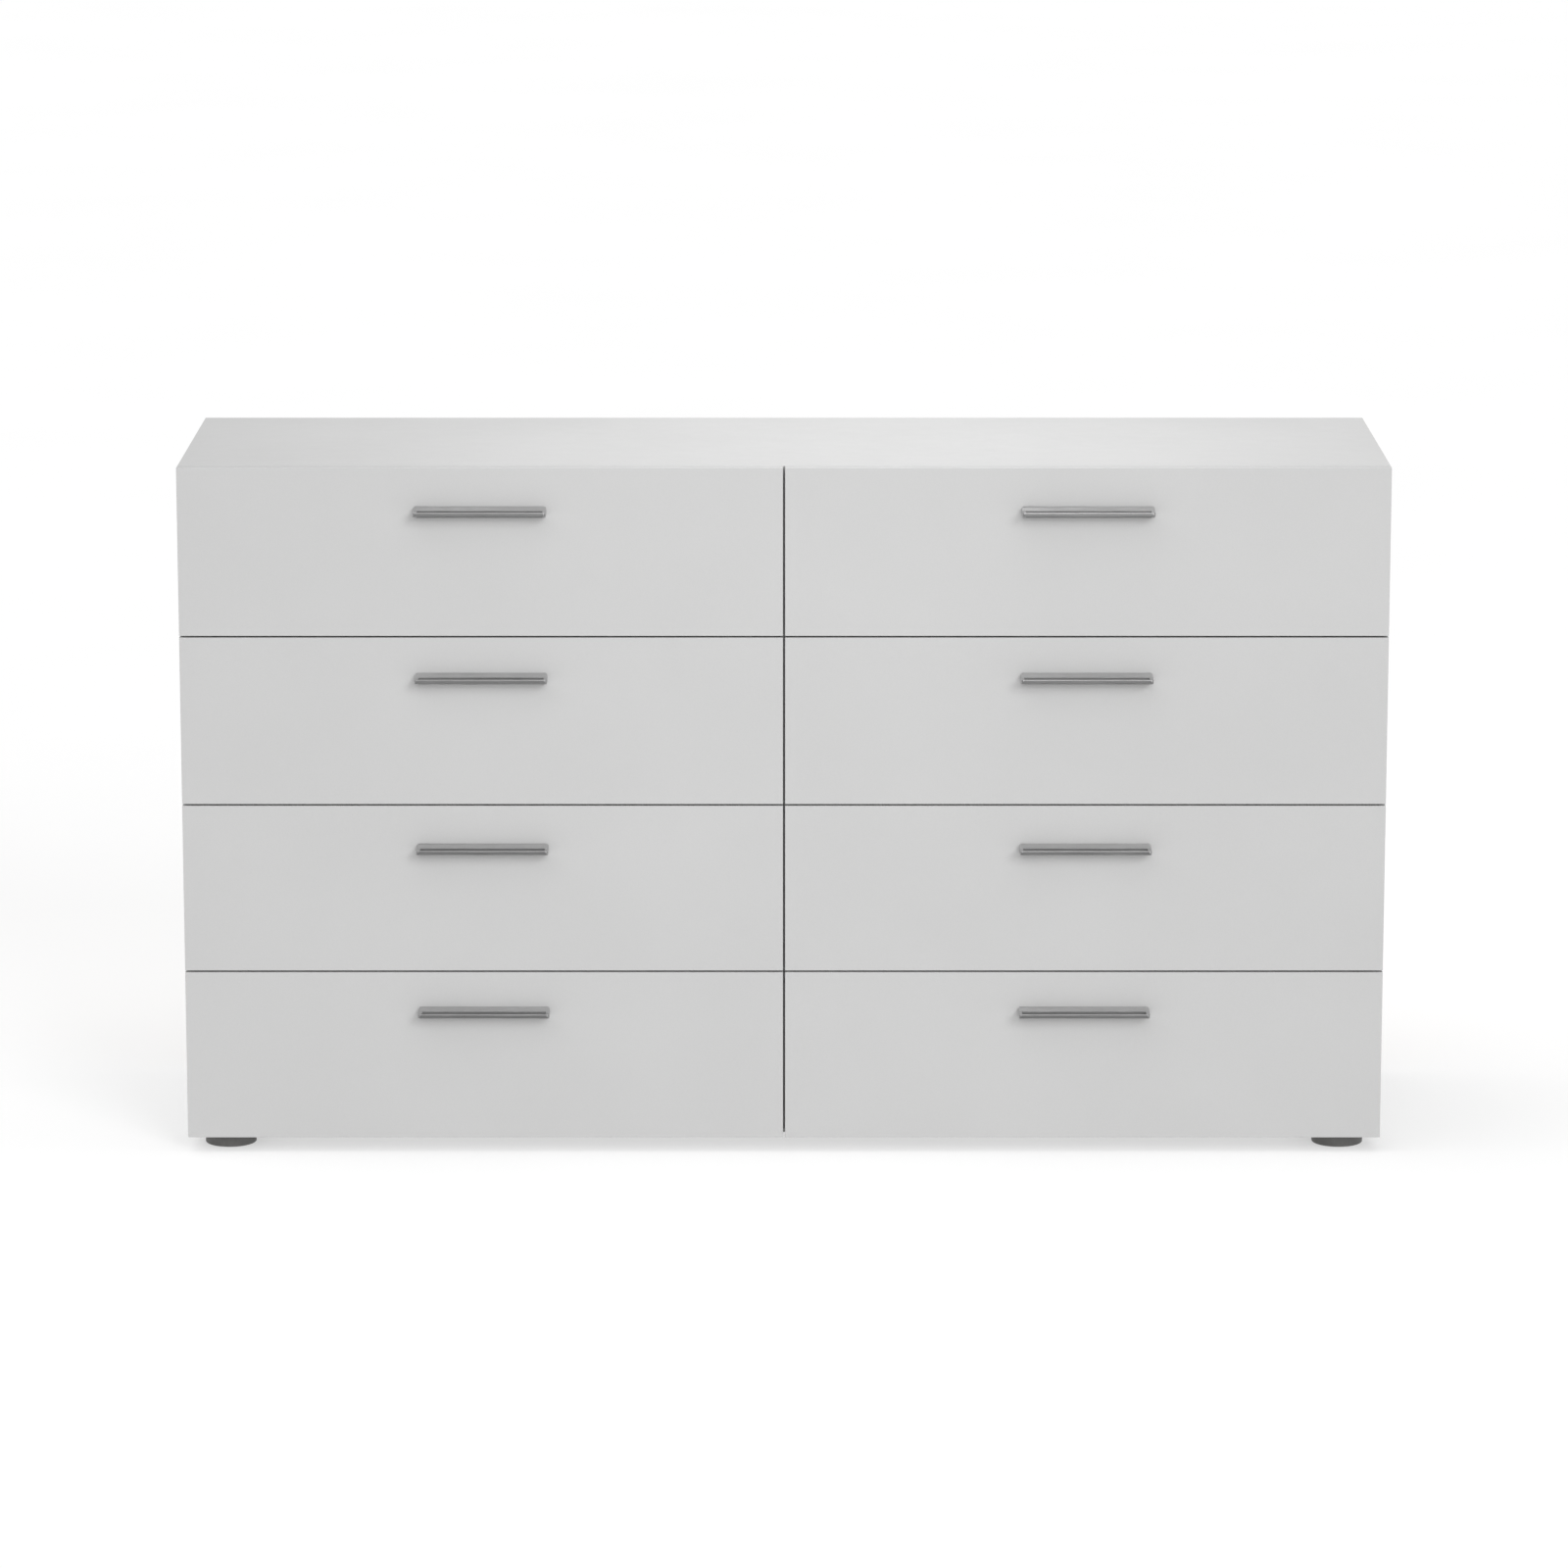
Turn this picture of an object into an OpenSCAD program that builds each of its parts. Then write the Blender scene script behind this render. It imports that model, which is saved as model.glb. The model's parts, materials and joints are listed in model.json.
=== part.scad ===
// Double dresser: two columns of four drawers on roller runners, in a laminated board cabinet.
// X runs to the right, Y to the back and Z up, in millimetres.
// The origin is on the floor, under the middle of the whole object, handles included.

/* [Cabinet] */
// Width over the side panels
body_w = 1400; // [1000:10:1800]
// Height of the cabinet from its underside to its top surface, without the feet
body_h = 793; // [620:1:1100]
// Depth from the faces of the drawer fronts to the back
body_d = 400; // [320:1:600]
// Thickness of the cabinet's boards
board_t = 16; // [15:0.2:25]
// Thickness of the hardboard back panels
back_t = 3; // [2.5:0.1:6]
// How far the top panel reaches past the back panels
back_inset = 1; // [1:0.5:10]
// Margin between the back panels and the edges of what they cover
back_margin = 1; // [0.5:0.5:5]

/* [Feet] */
// Diameter of a foot
foot_d = 60; // [40:1:90]
// Height of a foot
foot_h = 20; // [12:1:60]
// Distance of a foot's middle from the front or back of the dresser
foot_setback = 54; // [50:1:120]
// Chamfer round the lower edge of a foot
foot_chamfer = 1.5; // [0.5:0.5:4]

/* [Drawer fronts] */
// Gap between the two columns of drawer fronts
front_gap = 2.5; // [2:0.5:6]
// Gap between the rows of drawer fronts
row_gap = 2; // [1.5:0.5:6]
// Thickness of a drawer front
front_t = 16; // [12:0.5:22]
// Air between a drawer front and the cabinet's front edges
front_clear = 1; // [0.5:0.1:3]
// How far the lowest fronts hang below the cabinet's underside
front_hang = 2; // [0:0.5:8]
// Extra height of the lowest fronts
low_front_extra = 2.5; // [0:0.5:30]

/* [Drawer boxes] */
// Thickness of a drawer's sides and back
box_t = 12; // [10:0.2:16]
// Height of the lowest rails above the cabinet's floor
rail_rise = 2.5; // [1:0.5:20]
// Least height of a box's lower edge above the lower edge of its front
box_lift_min = 12; // [8:1:22]
// Air between the highest boxes and the top panel
box_air = 8; // [4:1:40]
// Free space behind a closed drawer
box_rear_clear = 29; // [10:1:80]
// Thickness of the hardboard bottom
bottom_t = 3; // [2.5:0.1:6]
// Height of the bottom's groove above the box's lower edge
groove_up = 10; // [8:1:20]
// Depth of the bottom's groove
groove_d = 5; // [4:0.5:7]
// Play of the bottom in its groove
groove_play = 0.2; // [0.1:0.1:0.6]

/* [Handles] */
// Length of a handle
handle_w = 153; // [145:1:260]
// How far a handle stands out from its front
handle_out = 25; // [22:0.5:40]
// Height of the handle's foot on the front
handle_h = 12.5; // [12:0.5:20]
// Thickness of the handle's foot, where the screws hold
handle_foot_t = 8.5; // [8:0.5:10]
// How far the grip's top lies below the top of the handle's foot
handle_fall = 4.2; // [3:0.1:5]
// Thickness of the grip, front to back
grip_t = 3.5; // [3:0.5:6]
// Height of the grip
grip_h = 4.4; // [4:0.1:6.5]
// Radius of the grip's long edges
grip_r = 0.5; // [0.2:0.1:1.4]
// Thickness of the arms at both ends
arm_t = 4; // [3:0.5:6]
// Radius of the handle's corners
handle_r = 3; // [1:0.5:4]
// Distance between the handle's two screws
handle_pitch = 128; // [96:1:130]
// From the top of the first and third fronts down to their handles
handle_drop_odd = 44.7; // [20:0.1:80]
// From the top of the second and fourth fronts down to their handles
handle_drop_even = 41.2; // [20:0.1:80]

/* [Runners] */
// Space between a drawer's side and the cabinet
runner_gap = 12.5; // [12:0.1:16]
// Thickness of the runners' sheet steel
steel_t = 1.2; // [0.8:0.1:1.6]
// Diameter of a roller
roller_d = 20; // [16:0.5:25]
// Width of a roller
roller_w = 6; // [5:0.1:6.2]
// Running clearance between rollers and rails
run_clear = 0.4; // [0.3:0.1:0.8]
// Width of the lip that keeps the drawer's roller down
lip_w = 4; // [3:0.1:4.5]
// Height of the drawer box above the foot of the cabinet's rail
box_seat = 4; // [3:0.5:8]
// Distance of a roller's middle from the end of its rail
roller_inset = 13; // [12:0.5:20]
// Diameter of a roller's axle
axle_d = 5; // [4:0.5:8]

/* [Fittings] */
// Diameter of a cam lock
cam_d = 15; // [12:0.5:18]
// Depth of a cam lock in a cabinet board
cam_depth = 12; // [8:0.5:12.5]
// Depth of a cam lock in a drawer side
box_cam_depth = 9; // [7:0.5:9]
// Distance of a cam lock's middle from its board's end
cam_reach = 34; // [24:1:50]
// Distance of a drawer's cam lock from the end of its side
box_cam_reach = 24; // [20:1:40]
// Diameter of a cam bolt
bolt_d = 5; // [4:0.5:6]
// How deep a cam bolt is screwed in
bolt_bite = 10; // [8:0.5:11]
// Diameter of a dowel
dowel_d = 8; // [6:1:8]
// Length of a dowel
dowel_l = 30; // [25:1:40]
// Distance of the dowels from a joint's ends
dowel_inset = 25; // [20:1:30]
// Distance of the cam locks from a joint's ends
cam_inset = 95; // [90:1:120]
// Diameter of a chipboard screw
screw_d = 3.5; // [3:0.1:4]
// Diameter of a chipboard screw's head
screw_head_d = 6.4; // [6:0.1:8]
// Diameter of a handle screw
handle_screw_d = 4; // [3:0.5:5]
// How deep a handle screw goes into the handle
handle_screw_bite = 6; // [5:0.5:7]
// Distance of the front rail screws from the front ends of the rails
rail_screw_front = 38; // [36:1:44]
// Distance of the rear rail screws from the rear ends of the rails
rail_screw_rear = 110; // [100:1:120]
// Clearance between fasteners and their holes, on the radius
fit_clear = 0.1; // [0.05:0.05:0.3]

/* [Hidden] */
rows = 4;
column_names = ["left", "right"];
cabinet_parts = ["top_panel", "bottom_panel", "left_side_panel", "right_side_panel", "centre_divider",
    "left_back_panel", "right_back_panel", "feet", "cabinet_runners", "cam_fittings", "dowels",
    "cabinet_screws"];
drawer_parts = ["front", "sides", "back", "bottom", "handle", "runners"];
$fn = 48;
cut = 1; // how far a cutting body reaches past the face it opens

laminate_colour = [0.86, 0.86, 0.85];
board_colour = [0.90, 0.90, 0.88];
hardboard_colour = [0.82, 0.79, 0.73];
metal_colour = [0.60, 0.60, 0.61];
runner_colour = [0.93, 0.93, 0.91];
roller_colour = [0.96, 0.96, 0.94];
steel_colour = [0.75, 0.76, 0.78];
beech_colour = [0.82, 0.68, 0.48];
foot_colour = [0.36, 0.36, 0.35];

// Planes of the cabinet
face_y = -(body_d - handle_out) / 2;
rear_y = face_y + body_d;
edge_y = face_y + front_t + front_clear;
board_end_y = rear_y - back_inset - back_t;
side_d = board_end_y - edge_y;
under_z = foot_h;
top_z = foot_h + body_h;
top_under_z = top_z - board_t;
floor_z = under_z + board_t;
upright_h = top_under_z - floor_z;
bay_w = (body_w - 3 * board_t) / 2;
upright_x = [-(body_w - board_t) / 2, 0, (body_w - board_t) / 2];

// Drawers: column c is 0 or 1, row r is 1 at the top to 4 at the bottom
front_w = (body_w - front_gap) / 2;
front_h = (body_h + front_hang - (rows - 1) * row_gap - low_front_extra) / rows;
box_lift = max(box_lift_min, board_t + rail_rise + box_seat + front_hang - low_front_extra);
box_drop = board_t + box_air;
box_h = front_h - box_lift - box_drop;
box_w = bay_w - 2 * runner_gap;
box_l = side_d - box_rear_clear;
box_y = face_y + front_t;
box_end_y = box_y + box_l;
groove_h = bottom_t + groove_play;
back_z = groove_up + groove_h;
back_h = box_h - back_z;

// Rails: heights are counted from the foot of the cabinet's rail
roller_z = steel_t + run_clear + roller_d / 2;
flange_z = roller_z + roller_d / 2 + run_clear;
rail_h = flange_z + 2 * run_clear + steel_t;
track_w = runner_gap - steel_t - 3 * run_clear;
roller_x = steel_t + 2 * run_clear;
flange_x = lip_w + 2 * run_clear;
rail_screw_y = [rail_screw_front, box_l - rail_screw_rear];
rail_stagger = 12;
rail_screw_l = 12;
box_screw_l = box_t - groove_d - 0.5; // ends before the bottom's groove
box_screw_z = (flange_z - box_seat) / 2; // above the box's lower edge

// Feet: four just inside the side panels and one under the divider
foot_x = body_w / 2 - board_t - foot_d / 2;
foot_places = [[-foot_x, face_y + foot_setback], [foot_x, face_y + foot_setback],
    [-foot_x, rear_y - foot_setback], [foot_x, rear_y - foot_setback], [0, (face_y + rear_y) / 2]];

// Fasteners
handle_hole_z = -(handle_fall + handle_h) / 2;
handle_head_d = 8;
handle_head_h = 2.4;
handle_edge = 1; // width of the narrow faces along the foot's edges
back_screw_l = 2.5 * box_t;
back_screw_head_h = 2;
back_screw_inset = 18; // from the upper and lower edges of a drawer's back
box_cam_inset = 25; // from the same edges, for the cam locks of the sides
back_screw_z = [back_z + back_screw_inset, box_h - back_screw_inset];
box_cam_z = [back_z + box_cam_inset, box_h - box_cam_inset];
foot_screw_bore = 10;
foot_screw_seat = 8;
foot_screw_l = board_t - 4;
nail_d = 1.6;
nail_head_d = 4;
nail_head_h = 0.7;
nail_l = 18;
nail_rows = 4; // along each upright
nail_columns = 3; // along the bottom panel, in each back panel

function part_name(c, r, p) = str("drawer_", column_names[c], "_", r, "_", p);
function bay_x(c) = (c == 0 ? -1 : 1) * (board_t + bay_w) / 2;
function front_x(c) = (c == 0 ? -1 : 1) * (front_w + front_gap) / 2;
function front_top(r) = top_z - (r - 1) * (front_h + row_gap);
function full_front_h(r) = front_h + (r == rows ? low_front_extra : 0);
function box_z(r) = front_top(r) - front_h + box_lift;
function rail_z(r) = box_z(r) - box_seat;
function handle_z(r) = front_top(r) - (r % 2 == 1 ? handle_drop_odd : handle_drop_even);

// ---------- shapes that repeat ----------

// Box from one corner to the opposite one
module span(a, b) {
    translate(a) cube(b - a);
}

// Cylinder from a point towards +X, +Y or +Z
module rod_x(p, d, l) {
    translate(p) rotate([0, 90, 0]) cylinder(d = d, h = l);
}

module rod_y(p, d, l) {
    translate(p) rotate([-90, 0, 0]) cylinder(d = d, h = l);
}

module rod_z(p, d, l) {
    translate(p) cylinder(d = d, h = l);
}

// Rectangle of w by h round the origin, with rounded corners
module round_rect(w, h, r) {
    square([w - 2 * r, h], center = true);
    square([w, h - 2 * r], center = true);
    for (x = [-1, 1], y = [-1, 1]) translate([x * (w / 2 - r), y * (h / 2 - r)]) circle(r = r);
}

// Side outline with x as depth and y as height, extruded to a width about the middle
module extrude_x(w) {
    translate([-w / 2, 0, 0]) rotate([90, 0, 90]) linear_extrude(height = w) children();
}

// Both runner members of a bay: the child is drawn for the left and mirrored for the right
module both_sides(c) {
    translate([bay_x(c), 0, 0]) {
        translate([-bay_w / 2, 0, 0]) children();
        mirror([1, 0, 0]) translate([-bay_w / 2, 0, 0]) children();
    }
}

// Countersunk screw along +X, its head in the first sheet_t
module flat_screw(l, sheet_t, grow = 0) {
    rotate([0, 90, 0]) {
        cylinder(d1 = screw_head_d + 2 * grow, d2 = screw_d + 2 * grow, h = sheet_t);
        cylinder(d = screw_d + 2 * grow, h = sheet_t + l + grow);
    }
}

// ---------- joints of the cabinet ----------
// A joint's places along Y
function cam_ys() = [edge_y + cam_inset, board_end_y - cam_inset];
function dowel_ys() = [edge_y + dowel_inset, board_end_y - dowel_inset];

// Bolts through the ends of the uprights, grown for their holes
module upright_bolts(x, g = 0) {
    for (y = cam_ys()) {
        rod_z([x, y, top_under_z - cam_reach + cam_d / 2 + fit_clear - g],
            bolt_d + 2 * g, cam_reach - cam_d / 2 - fit_clear + bolt_bite + 2 * g);
        if (x == 0)
            rod_z([x, y, floor_z - bolt_bite - g],
                bolt_d + 2 * g, cam_reach - cam_d / 2 - fit_clear + bolt_bite + 2 * g);
    }
}

module upright_dowels(x, g = 0) {
    for (y = dowel_ys()) {
        rod_z([x, y, top_under_z - 2 * dowel_l / 3 - g], dowel_d + 2 * g, dowel_l + 2 * g);
        if (x == 0) rod_z([x, y, floor_z - dowel_l / 3 - g], dowel_d + 2 * g, dowel_l + 2 * g);
    }
}

// Cam locks in the faces of the uprights: s is the side that the face looks to
module upright_cams(x, s, g = 0) {
    face_x = x + s * board_t / 2;
    for (y = cam_ys(), z = x == 0 ? [top_under_z - cam_reach, floor_z + cam_reach]
                                  : [top_under_z - cam_reach])
        rod_x([s > 0 ? face_x - cam_depth - g : face_x - (g > 0 ? cut : 0), y, z],
            cam_d + 2 * g, cam_depth + g + (g > 0 ? cut : 0));
}

// Bolts, dowels and cam locks between the side panels and the bottom panel: s is -1 or 1
module side_bolts(s, g = 0) {
    joint_x = s * (body_w / 2 - board_t);
    inner = joint_x - s * (cam_reach - cam_d / 2 - fit_clear + g);
    outer = joint_x + s * (bolt_bite + g);
    for (y = cam_ys())
        rod_x([min(inner, outer), y, under_z + board_t / 2], bolt_d + 2 * g, abs(outer - inner));
}

module side_dowels(s, g = 0) {
    joint_x = s * (body_w / 2 - board_t);
    inner = joint_x - s * (2 * dowel_l / 3 + g);
    outer = joint_x + s * (dowel_l / 3 + g);
    for (y = dowel_ys())
        rod_x([min(inner, outer), y, under_z + board_t / 2], dowel_d + 2 * g, abs(outer - inner));
}

module bottom_cams(s, g = 0) {
    for (y = cam_ys())
        rod_z([s * (body_w / 2 - board_t - cam_reach), y, under_z - (g > 0 ? cut : 0)],
            cam_d + 2 * g, cam_depth + g + (g > 0 ? cut : 0));
}

// ---------- feet ----------
module foot_screws(g = 0) {
    for (p = foot_places)
        rod_z([p[0], p[1], foot_h - foot_screw_seat], handle_screw_d + 2 * g,
            foot_screw_seat + foot_screw_l + g);
}

// ---------- runner screws and back nails ----------
// Screws that hold the cabinet's rails, with their heads flush in the steel
module rail_screws(c, r, g = 0) {
    for (s = [-1, 1], y = rail_screw_y)
        translate([bay_x(c) + s * bay_w / 2, edge_y + y + (s > 0 ? rail_stagger : 0), rail_z(r) + roller_z])
            mirror([s > 0 ? 0 : 1, 0, 0])
                translate([-steel_t, 0, 0]) flat_screw(rail_screw_l, steel_t, g);
}

// Rows of nails through the back panels into the boards' rear edges
module back_nails(g = 0) {
    up = (top_under_z - under_z) / nail_rows;
    for (x = [upright_x[0], -board_t / 4, board_t / 4, upright_x[2]], i = [0 : nail_rows - 1])
        nail([x, board_end_y + back_t, under_z + (i + 0.5) * up], g);
    across = body_w / 2 / (nail_columns + 1);
    for (s = [-1, 1], i = [1 : nail_columns])
        nail([s * i * across, board_end_y + back_t, under_z + board_t / 2], g);
}

module nail(p, g) {
    translate(p) rotate([90, 0, 0]) {
        cylinder(d = nail_d + 2 * g, h = nail_l + g);
        if (g == 0) translate([0, 0, -nail_head_h]) cylinder(d = nail_head_d, h = nail_head_h);
    }
}

// ---------- cabinet ----------
module top_panel() {
    color(laminate_colour) difference() {
        span([-body_w / 2, edge_y, top_under_z], [body_w / 2, rear_y, top_z]);
        for (x = upright_x) {
            upright_bolts(x, fit_clear);
            upright_dowels(x, fit_clear);
        }
    }
}

module bottom_panel() {
    inner = body_w / 2 - board_t;
    color(laminate_colour) difference() {
        span([-inner, edge_y, under_z], [inner, board_end_y, floor_z]);
        upright_bolts(0, fit_clear);
        upright_dowels(0, fit_clear);
        foot_screws(fit_clear);
        back_nails(fit_clear);
        for (s = [-1, 1]) {
            side_bolts(s, fit_clear);
            side_dowels(s, fit_clear);
            bottom_cams(s, fit_clear);
        }
    }
}

// Side panel: s is -1 for the left and 1 for the right
module side_panel(s) {
    x = s * (body_w - board_t) / 2;
    color(laminate_colour) difference() {
        span([x - board_t / 2, edge_y, under_z], [x + board_t / 2, board_end_y, top_under_z]);
        upright_bolts(x, fit_clear);
        upright_dowels(x, fit_clear);
        upright_cams(x, -s, fit_clear);
        side_bolts(s, fit_clear);
        side_dowels(s, fit_clear);
        back_nails(fit_clear);
        for (r = [1 : rows]) rail_screws(s < 0 ? 0 : 1, r, fit_clear);
    }
}

module centre_divider() {
    color(laminate_colour) difference() {
        span([-board_t / 2, edge_y, floor_z], [board_t / 2, board_end_y, top_under_z]);
        upright_bolts(0, fit_clear);
        upright_dowels(0, fit_clear);
        upright_cams(0, -1, fit_clear);
        back_nails(fit_clear);
        for (c = [0, 1], r = [1 : rows]) rail_screws(c, r, fit_clear);
    }
}

// Back panel: s is -1 for the left and 1 for the right. The two meet behind the divider.
module back_panel(s) {
    near = s * back_margin / 2;
    far = s * (body_w / 2 - back_margin);
    color(hardboard_colour) difference() {
        span([min(near, far), board_end_y, under_z + back_margin],
            [max(near, far), board_end_y + back_t, top_under_z]);
        back_nails(fit_clear);
    }
}

module feet() {
    color(foot_colour) for (p = foot_places) translate([p[0], p[1], 0]) difference() {
        union() {
            cylinder(d1 = foot_d - 2 * foot_chamfer, d2 = foot_d, h = foot_chamfer);
            translate([0, 0, foot_chamfer]) cylinder(d = foot_d, h = foot_h - foot_chamfer);
        }
        translate([0, 0, -cut]) cylinder(d = foot_screw_bore, h = foot_h - foot_screw_seat + cut);
        cylinder(d = handle_screw_d + 2 * fit_clear, h = foot_h + cut);
    }
}

// Roller with a bore for its axle
module roller(p) {
    color(roller_colour) difference() {
        rod_x(p, roller_d, roller_w);
        rod_x(p - [cut, 0, 0], axle_d + 2 * fit_clear, roller_w + 2 * cut);
    }
}

// Cabinet's rail: a steel channel with a roller near its front end
module cabinet_rail(r) {
    color(runner_colour) {
        difference() {
            translate([0, edge_y, rail_z(r)]) {
                cube([steel_t, box_l, rail_h]);
                cube([track_w, box_l, steel_t]);
                translate([0, 0, rail_h - steel_t]) cube([lip_w, box_l, steel_t]);
            }
            children();
        }
        rod_x([steel_t, edge_y + roller_inset, rail_z(r) + roller_z], axle_d, roller_x + roller_w - steel_t);
    }
    roller([roller_x, edge_y + roller_inset, rail_z(r) + roller_z]);
}

module cabinet_runners() {
    for (c = [0, 1], r = [1 : rows]) both_sides(c) cabinet_rail(r) rail_holes(r);
}

module rail_holes(r) {
    for (y = rail_screw_y, lag = [0, rail_stagger])
        translate([steel_t, edge_y + y + lag, rail_z(r) + roller_z])
            mirror([1, 0, 0]) flat_screw(rail_screw_l, steel_t, fit_clear);
}

module cam_fittings() {
    color(steel_colour) {
        for (x = upright_x) upright_bolts(x);
        upright_cams(upright_x[0], 1);
        upright_cams(upright_x[1], -1);
        upright_cams(upright_x[2], -1);
        for (s = [-1, 1]) {
            side_bolts(s);
            bottom_cams(s);
        }
    }
}

module dowels() {
    color(beech_colour) {
        for (x = upright_x) upright_dowels(x);
        for (s = [-1, 1]) side_dowels(s);
    }
}

module cabinet_screws() {
    color(steel_colour) {
        for (c = [0, 1], r = [1 : rows]) rail_screws(c, r);
        foot_screws();
        for (p = foot_places)
            rod_z([p[0], p[1], foot_h - foot_screw_seat - handle_head_h], handle_head_d, handle_head_h);
        back_nails();
    }
}

// ---------- drawers ----------
// What holds a drawer together, each grown by g for its holes.
// These are drawn about the middle of the bay, with z = 0 at the box's lower edge.
module box_bolts(g = 0) {
    for (s = [-1, 1], z = box_cam_z)
        rod_y([s * (box_w - box_t) / 2, box_y - bolt_bite - g, z], bolt_d + 2 * g,
            bolt_bite + box_cam_reach - cam_d / 2 - fit_clear + 2 * g);
}

module box_cams(g = 0) {
    open = g > 0 ? cut : 0;
    for (s = [-1, 1], z = box_cam_z)
        rod_x([s > 0 ? box_w / 2 - box_t - open : -box_w / 2 + box_t - box_cam_depth - g,
            box_y + box_cam_reach, z], cam_d + 2 * g, box_cam_depth + g + open);
}

module back_screws(g = 0) {
    for (s = [-1, 1], z = back_screw_z)
        translate([s * box_w / 2, box_end_y - box_t / 2, z]) mirror([s > 0 ? 1 : 0, 0, 0])
            flat_screw(back_screw_l, back_screw_head_h, g);
}

module box_rail_screws(g = 0) {
    for (s = [-1, 1], y = rail_screw_y)
        translate([s * (box_w / 2 + steel_t), box_y + y, box_screw_z])
            mirror([s > 0 ? 1 : 0, 0, 0]) flat_screw(box_screw_l, steel_t, g);
}

// Handle screws, about the middle of the front and the top of the handle
module handle_screws(g = 0) {
    for (x = [-1, 1] * handle_pitch / 2)
        rod_y([x, face_y - handle_screw_bite - g, handle_hole_z], handle_screw_d + 2 * g,
            handle_screw_bite + front_t + 2 * g);
}

module drawer_front(c, r) {
    top = front_top(r);
    color(laminate_colour) difference() {
        span([front_x(c) - front_w / 2, face_y, top - full_front_h(r)],
            [front_x(c) + front_w / 2, face_y + front_t, top]);
        translate([front_x(c), 0, handle_z(r)]) handle_screws(fit_clear);
        translate([bay_x(c), 0, box_z(r)]) {
            box_bolts(fit_clear);
            span([-box_w / 2 + box_t - groove_d, box_y - groove_d, groove_up],
                [box_w / 2 - box_t + groove_d, box_y + cut, groove_up + groove_h]);
        }
    }
}

module drawer_sides(c, r) {
    color(board_colour) translate([bay_x(c), 0, box_z(r)]) difference() {
        for (s = [-1, 1]) translate([s * (box_w - box_t) / 2, box_y + box_l / 2, box_h / 2])
            cube([box_t, box_l, box_h], center = true);
        span([-box_w / 2 + box_t - groove_d, box_y - cut, groove_up],
            [box_w / 2 - box_t + groove_d, box_end_y + cut, groove_up + groove_h]);
        box_bolts(fit_clear);
        box_cams(fit_clear);
        back_screws(fit_clear);
        box_rail_screws(fit_clear);
    }
}

module drawer_back(c, r) {
    color(board_colour) translate([bay_x(c), 0, box_z(r)]) difference() {
        span([-box_w / 2 + box_t, box_end_y - box_t, back_z], [box_w / 2 - box_t, box_end_y, box_h]);
        back_screws(fit_clear);
    }
}

module drawer_bottom(c, r) {
    half = box_w / 2 - box_t + groove_d - groove_play;
    color(hardboard_colour) translate([bay_x(c), 0, box_z(r)])
        span([-half, box_y - groove_d + groove_play, groove_up], [half, box_end_y, groove_up + bottom_t]);
}

// Side outlines of the handle: x is the distance from the front, y the height
module handle_foot_outline() {
    polygon([[0, 0], [handle_edge, 0], [handle_foot_t, -handle_fall],
        [handle_foot_t, handle_edge - handle_h], [handle_foot_t - handle_edge, -handle_h], [0, -handle_h]]);
}

module handle_arm_outline() {
    grip_y = handle_out - grip_t / 2;
    polygon([[0, 0], [handle_edge, 0], [handle_foot_t, -handle_fall], [grip_y, -handle_fall],
        [grip_y, -handle_fall - grip_h], [handle_foot_t, -handle_h], [0, -handle_h]]);
}

module grip_outline() {
    translate([handle_out - grip_t / 2, -handle_fall - grip_h / 2])
        round_rect(grip_t, grip_h, grip_r);
}

module drawer_handle(c, r) {
    color(metal_colour) translate([front_x(c), face_y, handle_z(r)]) mirror([0, 1, 0]) difference() {
        intersection() {
            union() {
                extrude_x(handle_w) handle_foot_outline();
                extrude_x(handle_w) grip_outline();
                for (s = [-1, 1]) translate([s * (handle_w - arm_t) / 2, 0, 0])
                    extrude_x(arm_t) handle_arm_outline();
            }
            translate([0, handle_out + cut, -handle_h / 2]) rotate([90, 0, 0])
                linear_extrude(height = handle_out + 2 * cut) round_rect(handle_w, handle_h, handle_r);
            translate([0, 0, -handle_h - cut]) linear_extrude(height = handle_h + 2 * cut)
                round_rect(handle_w, 2 * handle_out, handle_r);
        }
        for (x = [-1, 1] * handle_pitch / 2)
            rod_y([x, -cut, handle_hole_z], handle_screw_d + 2 * fit_clear,
                handle_screw_bite + fit_clear + cut);
    }
}

// Drawer's rail: an angle under the side with an outward flange, and a roller at its rear end
module drawer_rail() {
    difference() {
        translate([0, box_y, 0]) {
            translate([runner_gap - steel_t, 0, box_seat - steel_t])
                cube([steel_t, box_l, flange_z + 2 * steel_t - box_seat]);
            translate([runner_gap - steel_t, 0, box_seat - steel_t])
                cube([steel_t + box_t, box_l, steel_t]);
            translate([flange_x, 0, flange_z]) cube([runner_gap - flange_x, box_l, steel_t]);
        }
        for (y = rail_screw_y) translate([runner_gap - steel_t, box_y + y, box_seat + box_screw_z])
            flat_screw(box_screw_l, steel_t, fit_clear);
    }
    rod_x([roller_x, box_end_y - roller_inset, roller_z], axle_d, runner_gap - steel_t - roller_x);
}

// The drawer's rails and rollers, with the fasteners that ride on the drawer
module drawer_runners(c, r) {
    color(runner_colour) both_sides(c) translate([0, 0, rail_z(r)]) drawer_rail();
    both_sides(c) roller([roller_x, box_end_y - roller_inset, rail_z(r) + roller_z]);
    color(steel_colour) {
        translate([front_x(c), 0, handle_z(r)]) {
            handle_screws();
            for (x = [-1, 1] * handle_pitch / 2)
                rod_y([x, face_y + front_t, handle_hole_z], handle_head_d, handle_head_h);
        }
        translate([bay_x(c), 0, box_z(r)]) {
            box_bolts();
            box_cams();
            back_screws();
            box_rail_screws();
        }
    }
}

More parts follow.
